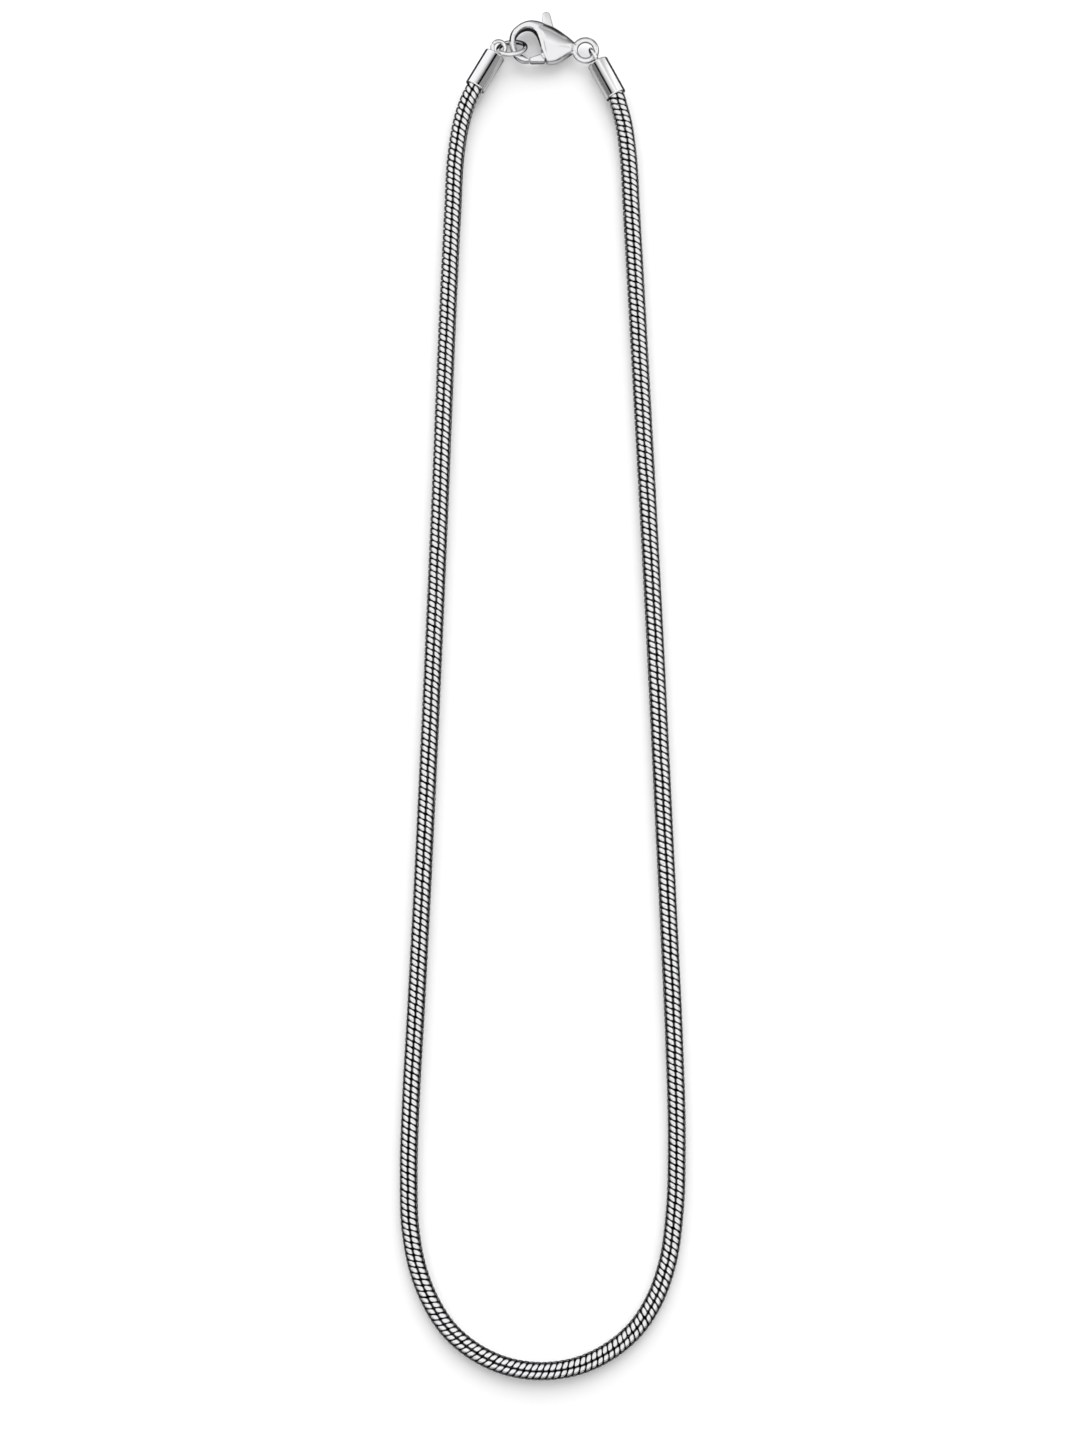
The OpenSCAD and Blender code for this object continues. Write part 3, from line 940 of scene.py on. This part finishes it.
def polish_group():
    """Polished metal: a slow waviness and fine hairlines as a normal, and a thin film of handling
    marks that adds to the roughness. Its own values are the drawn wire's."""
    inputs = {label: (FLOAT, value) for label, value in zip(MARKS, WIRE_FINISH[1])}
    group, ins, outs = new_group("hand_polish", inputs, {"Normal": VECTOR, "Roughness": FLOAT})
    place = node(group, "ShaderNodeTexCoord", (-900, -250))
    slow = node(group, "ShaderNodeTexNoise", (-600, 150), Scale=900.0, Detail=2.0)
    wave = node(group, "ShaderNodeBump", (-150, 150), Distance=0.00002)
    stretch = node(group, "ShaderNodeMapping", (-750, -250), Rotation=(0.3, 0.5, 0.6),
                   Scale=(1.0, 14.0, 3.0))
    lines = node(group, "ShaderNodeTexNoise", (-500, -200), Scale=5200.0, Detail=3.0)
    hair = node(group, "ShaderNodeBump", (100, 100), Distance=0.000004)
    smear = node(group, "ShaderNodeTexNoise", (-500, -480), Scale=420.0, Detail=4.0, Distortion=0.6)
    spread = node(group, "ShaderNodeMapRange", (-250, -480), From_Min=0.4, From_Max=0.7)
    film = node(group, "ShaderNodeMath", (0, -420), operation="MULTIPLY_ADD")
    wired(group,
          (place, "Object", slow, "Vector"),
          (place, "Object", stretch, "Vector"),
          (place, "Object", smear, "Vector"),
          (stretch, "Vector", lines, "Vector"),
          (slow, "Fac", wave, "Height"),
          (ins, "Waviness", wave, "Strength"),
          (lines, "Fac", hair, "Height"),
          (ins, "Hairlines", hair, "Strength"),
          (wave, "Normal", hair, "Normal"),
          (smear, "Fac", spread, "Value"),
          (spread, "Result", film, 0),
          (ins, "Film", film, 1),
          (ins, "Roughness", film, 2),
          (hair, "Normal", outs, "Normal"),
          (film, "Value", outs, "Roughness"))
    return group


def polished_metal(name, polish, marks):
    """A metal whose normal and roughness come from the polish group."""
    material, tree, shader = new_material(name)
    shader.inputs["Metallic"].default_value = 1.0
    worn = node(tree, "ShaderNodeGroup", (0, -200), node_tree=polish)
    for label, value in zip(MARKS, marks):
        worn.inputs[label].default_value = value
    wired(tree, (worn, "Normal", shader, "Normal"), (worn, "Roughness", shader, "Roughness"))
    return material, tree, shader


def polished_steel(name, polish, finish):
    """Mirror-polished steel of one colour."""
    colour, marks = finish
    material, tree, shader = polished_metal(name, polish, marks)
    shader.inputs["Base Color"].default_value = (*colour, 1)
    return material


def link_steel(polish):
    """Polished scales whose edges and valleys are painted dark, grime of old polish and handling
    mixed with painted shade between the scales: the depth of the surface and a fine noise together
    say how much."""
    colour, marks = LINK_FINISH
    material, tree, shader = polished_metal("link_steel", polish, marks)
    depth = node(tree, "ShaderNodeAttribute", (-600, 150), attribute_name="joint_grime_shade")
    place = node(tree, "ShaderNodeTexCoord", (-800, -100))
    patch = node(tree, "ShaderNodeTexNoise", (-600, -100), Scale=1500.0, Detail=3.0)
    amount = node(tree, "ShaderNodeMath", (-400, 100), operation="MULTIPLY_ADD")
    amount.inputs[1].default_value = GRIME_SHADE_NOISE
    wired(tree,
          (place, "Object", patch, "Vector"),
          (patch, "Fac", amount, 0),
          (depth, "Fac", amount, 2))
    grime_shade_cover = ranged(tree, amount.outputs["Value"], *GRIME_SHADE_SPAN, 0, 1, (-220, 100), "LINEAR")
    # Base colour darkened by grime and painted shade in the gaps and valleys
    tint = mixed(tree, grime_shade_cover, (*colour, 1), (*GRIME_SHADE_COLOUR, 1), (50, 150), "RGBA")
    tree.links.new(tint, shader.inputs["Base Color"])
    return material


def mirror_share(tree, at):
    """Output that is one for what the camera sees mirrored in the metal, and none for the light
    that goes on between the metal and the sheet."""
    x, y = at
    path = node(tree, "ShaderNodeLightPath", at)
    first = combined(tree, "LESS_THAN", path.outputs["Diffuse Depth"], 0.5, (x + 200, y - 100))
    return combined(tree, "MULTIPLY", path.outputs["Is Glossy Ray"], first, (x + 400, y))


def ellipse_far(tree, place, middle, half_sizes, at):
    """Output of the distance from an ellipse's middle, where one is its edge."""
    x, y = at
    shift = node(tree, "ShaderNodeVectorMath", (x, y), operation="SUBTRACT")
    shift.inputs[1].default_value = np.array(middle) * MM
    shrink = node(tree, "ShaderNodeVectorMath", (x + 150, y), operation="DIVIDE")
    shrink.inputs[1].default_value = np.array(half_sizes) * MM
    length = node(tree, "ShaderNodeVectorMath", (x + 300, y), operation="LENGTH")
    tree.links.new(place, shift.inputs[0])
    wired(tree, (shift, "Vector", shrink, 0), (shrink, "Vector", length, 0))
    return length.outputs["Value"]


def sheet_zones(tree, place):
    """Shares of the sheet's two zones of painted reflection: the open one outside the caps, and the dark
    one round the clasp."""
    apart = node(tree, "ShaderNodeSeparateXYZ", (-1500, 500))
    tree.links.new(place, apart.inputs["Vector"])
    aside = combined(tree, "ABSOLUTE", apart.outputs["X"], 0, (-1350, 700))
    aside = stepped(tree, aside, OPEN_SIDE, 0, (-1200, 700))
    above = stepped(tree, apart.outputs["Y"], OPEN_FROM, 0, (-1200, 500))
    beyond = stepped(tree, apart.outputs["Y"], DARK_FROM, 0, (-1200, 300))
    inside = combined(tree, "SUBTRACT", 1, aside, (-1050, 300))
    opened = combined(tree, "MULTIPLY", aside, above, (-900, 600))
    closed = combined(tree, "MULTIPLY", beyond, inside, (-900, 300))
    return opened, closed


def zoned(tree, zones, lengths, at):
    """Output of the first of three lengths in millimetres, or of the second in the open zone and of
    the third in the dark zone."""
    opened, closed = zones
    plain, in_open, in_dark = lengths
    x, y = at
    base = ranged(tree, closed, 0, 1, plain * MM, in_dark * MM, (x, y), "LINEAR")
    more = ranged(tree, opened, 0, 1, 0, (in_open - plain) * MM, (x, y - 200), "LINEAR")
    return combined(tree, "ADD", base, more, (x + 150, y))


def painted_near_light(tree, place):
    """Painted brightness of the sheet's mirror image near the metal: painted shade but for the painted
    highlight patch below the clasp, which has a painted shade core."""
    patch = ellipse_far(tree, place, PATCH_AT, PATCH_REACH, (-1300, 0))
    core = ellipse_far(tree, place, CORE_AT, CORE_REACH, (-1300, -200))
    light = ranged(tree, patch, *PATCH_EDGE, PAINTED_PATCH_LIGHT, PAINTED_MIRROR_DARK, (-850, 0))
    dim = ranged(tree, core, *CORE_EDGE, PAINTED_CORE_SHADE, 1, (-850, -200))
    return combined(tree, "MULTIPLY", light, dim, (-700, 0))


def painted_sheet_image(tree, place, way):
    """Painted brightness of the sheet in the metal's mirror: painted shade that climbs to white with
    the length of the way from the metal, and is painted darker still where the two all but touch."""
    zones = sheet_zones(tree, place)
    start = zoned(tree, zones, CLIMB_FROM, (-700, 700))
    end = zoned(tree, zones, CLIMB_TO, (-700, 300))
    lit = ranged(tree, way, start, end, painted_near_light(tree, place), SHEET_WHITE, (-400, 0))
    touch = stepped(tree, way, TOUCH, PAINTED_TOUCH_SHADE, (-400, 300))
    return combined(tree, "MULTIPLY", lit, touch, (-200, 100))


def white_sheet():
    """Matt white paper with a fine tooth, evenly white to the camera. The metal mirrors it by the
    sheet's painted image: a painted reflection that is dark near the metal.
    """
    material, tree, shader = new_material("white_sheet")
    shader.inputs["Roughness"].default_value = 0.8
    shader.inputs["Specular IOR Level"].default_value = 0.2
    place = node(tree, "ShaderNodeTexCoord", (-1700, -200))
    path = node(tree, "ShaderNodeLightPath", (-600, 500))
    tooth = node(tree, "ShaderNodeTexNoise", (-300, -400), Scale=2500.0, Detail=2.0)
    grain = node(tree, "ShaderNodeBump", (0, -300), Strength=0.05, Distance=0.00002)
    wired(tree,
          (place, "Object", tooth, "Vector"),
          (tooth, "Fac", grain, "Height"),
          (grain, "Normal", shader, "Normal"))
    image = painted_sheet_image(tree, place.outputs["Object"], path.outputs["Ray Length"])
    plain = (SHEET_WHITE, SHEET_WHITE, SHEET_WHITE, 1)
    # Painted reflection: rays mirrored by the metal get the painted image in place of the plain white
    tint = mixed(tree, mirror_share(tree, (-600, 900)), plain, image, (100, 150), "RGBA")
    tree.links.new(tint, shader.inputs["Base Color"])
    return material


def flat_thing(name, corners, material):
    """One flat face with its four corners in millimetres."""
    mesh = bpy.data.meshes.new(name)
    mesh.from_pydata((np.array(corners) * MM).tolist(), [], [(0, 1, 2, 3)])
    mesh.materials.append(material)
    return in_scene(name, mesh)


def floor_sheet():
    """The sheet that everything lies on."""
    half = SHEET_HALF
    corners = [(-half, -half, 0), (half, -half, 0), (half, half, 0), (-half, half, 0)]
    sheet = flat_thing("floor", corners, white_sheet())


def flag_cloth(name, half, tall, fade, climb):
    """Cloth that is black at its foot. It brightens to white at its top, by the share of its height
    raised to the power of the climb, and at its sides, from the fade's share of the half width."""
    material = bpy.data.materials.new(name)
    tree = cleared_tree(material)
    output = node(tree, "ShaderNodeOutputMaterial", (900, 0))
    glow = node(tree, "ShaderNodeEmission", (700, 0))
    place = node(tree, "ShaderNodeTexCoord", (-600, 0))
    apart = node(tree, "ShaderNodeSeparateXYZ", (-400, 0))
    wired(tree, (place, "Object", apart, "Vector"), (glow, "Emission", output, "Surface"))
    aside = combined(tree, "ABSOLUTE", apart.outputs["X"], 0, (-200, 100))
    inside = ranged(tree, aside, half * fade, half, 1, 0, (0, 100))
    share = ranged(tree, apart.outputs["Z"], 0, tall, 0, 1, (-200, -100), "LINEAR")
    under = combined(tree, "SUBTRACT", 1, combined(tree, "POWER", share, climb, (0, -100)), (150, -100))
    dark = combined(tree, "MULTIPLY", inside, under, (300, 0))
    shade = ranged(tree, dark, 0, 1, TENT_WHITE, 0, (450, 0), "LINEAR")
    tree.links.new(shade, glow.inputs["Strength"])
    return material


def dark_flag(name, foot, back, half, tall, fade, climb):
    """Upright flag beside or beyond the clasp. The camera doesn't see it and it throws no shadow;
    the metal mirrors it."""
    corners = [(-half, 0, 0), (half, 0, 0), (half, 0, tall), (-half, 0, tall)]
    flag = flat_thing(name, corners, flag_cloth(name + "_cloth", half * MM, tall * MM, fade, climb))
    flag.location = (foot[0] * MM, foot[1] * MM, 0)
    flag.rotation_euler = (0, 0, math.radians(back - 90))
    flag.visible_camera = False
    flag.visible_diffuse = False
    flag.visible_shadow = False


def cap_card(tree, way, under, angle, inward, stops, at):
    """Lays one cap's card over the strength under it, where the cosine to the cap's axis is the
    card's: white on the outer side of the cap and banded on the side that it turns to the middle."""
    x, y = at
    axis = heading(angle)
    side = (inward * axis[1], -inward * axis[0], 0)
    off = combined(tree, "SUBTRACT", dotted(tree, way, axis, (x, y)), CARD_COSINE, (x + 150, y))
    off = combined(tree, "ABSOLUTE", off, 0, (x + 300, y))
    mask = ranged(tree, off, CARD_HALF, CARD_HALF * CARD_FADE, 1, 0, (x + 450, y))
    sideways = dotted(tree, way, side, (x, y - 200))
    across = ranged(tree, sideways, -1, 1, 0, 1, (x + 50, y - 400), "LINEAR")
    shades = node(tree, "ShaderNodeValToRGB", (x + 200, y - 200))
    while len(shades.color_ramp.elements) < len(stops):
        shades.color_ramp.elements.new(0.5)
    for stop, (place, shade) in zip(shades.color_ramp.elements, stops):
        stop.position = place
        stop.color = (shade, shade, shade, 1)
    tree.links.new(across, shades.inputs["Fac"])
    return mixed(tree, mask, under, shades.outputs["Color"], (x + 750, y))


def studio_world():
    """Light tent. What the metal mirrors is white with a dark horizon that stands higher on the
    photographer's side, and the caps' cards. What lights the sheet is stronger from high up behind,
    and the camera sees an even light grey."""
    world = bpy.data.worlds.new("light_tent")
    bpy.context.scene.world = world
    world.cycles.sampling_method = "NONE"
    tree = cleared_tree(world)
    out = node(tree, "ShaderNodeOutputWorld", (1600, 0))
    back = node(tree, "ShaderNodeBackground", (1400, 0), Color=(TENT_GREY, TENT_GREY, TENT_GREY, 1))
    coords = node(tree, "ShaderNodeTexCoord", (-1400, 0))
    path = node(tree, "ShaderNodeLightPath", (800, -200))
    way = coords.outputs["Generated"]
    height = dotted(tree, way, HORIZON_TILT, (-1100, -100))
    behind = dotted(tree, way, FILL_WAY, (-1100, -500))
    shade = ranged(tree, height, *HORIZON, HORIZON_LIGHT, TENT_WHITE, (-900, -100))
    shade = cap_card(tree, way, shade, LEFT_HEADING, 1, LEFT_STOPS, (-500, 700))
    shade = cap_card(tree, way, shade, RIGHT_HEADING, -1, RIGHT_STOPS, (300, 700))
    fill = ranged(tree, behind, *FILL_TURN, *TENT_FILL, (900, -500))
    light = mixed(tree, mirror_share(tree, (500, -700)), fill, shade, (1100, 100))
    seen = mixed(tree, path.outputs["Is Camera Ray"], light, TENT_SEEN, (1250, 200))
    tree.links.new(seen, back.inputs["Strength"])
    wired(tree, (back, "Background", out, "Surface"))


def softbox(name, at, size, watts):
    """Square area light that faces the middle of the necklace."""
    light = bpy.data.lights.new(name, "AREA")
    light.shape = "SQUARE"
    light.size = size
    light.energy = watts
    lamp = in_scene(name, light)
    lamp.location = at
    way = -np.array(at) / np.linalg.norm(at)
    lamp.rotation_euler = (math.acos(-way[2]), 0, math.atan2(-way[0], way[1]))
    lamp.visible_glossy = False


def photo_camera():
    """Camera at the photograph's angle: almost straight down, from the side of the bottom bend."""
    data = bpy.data.cameras.new("camera")
    data.sensor_width = SENSOR
    data.lens = SENSOR * FOCAL_PX / FRAME_H
    data.clip_start, data.clip_end = CLIP
    camera = in_scene("camera", data)
    camera.location = CAMERA_AT * MM
    camera.rotation_euler = (math.radians(CAMERA_TILT), 0, 0)
    bpy.context.scene.camera = camera


photo_camera()
floor_sheet()
studio_world()
for flag_name, flag_values in FLAGS.items():
    dark_flag(flag_name, *flag_values)
softbox("key_softbox", KEY_AT, KEY_SIZE, KEY_WATTS)

polish = polish_group()
cap_steel = polished_steel("turned_steel", polish, CAP_FINISH)
wire_steel = polished_steel("drawn_wire", polish, WIRE_FINISH)
clasp_steel = polished_steel("cast_steel", polish, CAST_FINISH)

whole_chain(link_steel(polish))
end_cap("barrel_left", "cap_left", LEFT_MOUTH, LEFT_HEADING, LEFT_ROLL, cap_steel)
end_cap("barrel_right", "cap_right", RIGHT_MOUTH, RIGHT_HEADING, RIGHT_ROLL, cap_steel)
jump_ring(wire_steel)
clasp_casting(clasp_steel)
lever_casting(clasp_steel)
pivot_pin(wire_steel)

bpy.context.scene.view_settings.view_transform = "Standard"
